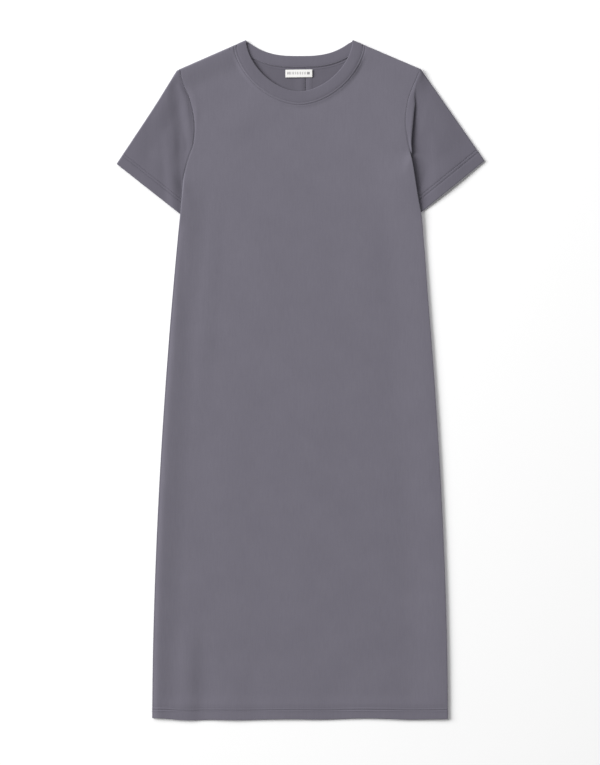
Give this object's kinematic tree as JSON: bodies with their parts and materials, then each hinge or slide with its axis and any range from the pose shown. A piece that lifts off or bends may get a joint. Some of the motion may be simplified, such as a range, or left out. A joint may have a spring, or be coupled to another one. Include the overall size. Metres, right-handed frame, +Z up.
{
  "type": "t-shirt dress",
  "caption": "Midi t-shirt dress in plain stretch jersey with short sleeves and a wide round neck, laid flat and face up.",
  "frame": {"origin": "on the surface the dress lies on, under the middle of its bounding box", "axes": "+X across the dress, towards the right sleeve as seen from above, +Y along it from hem to neck, and +Z up from the surface, out of the front"},
  "size_m": [0.638, 1.1796, 0.0066],
  "materials": {
    "jersey": "matte fine knit",
    "neckband_jersey": "matte doubled knit",
    "woven_label": "woven"
  },
  "bodies": {
    "root": {"front": "jersey", "back_left": "jersey", "back_right": "jersey", "sleeve_left": "jersey", "sleeve_right": "jersey", "neckband": "neckband_jersey", "label": "woven_label"}
  },
  "joints": []
}
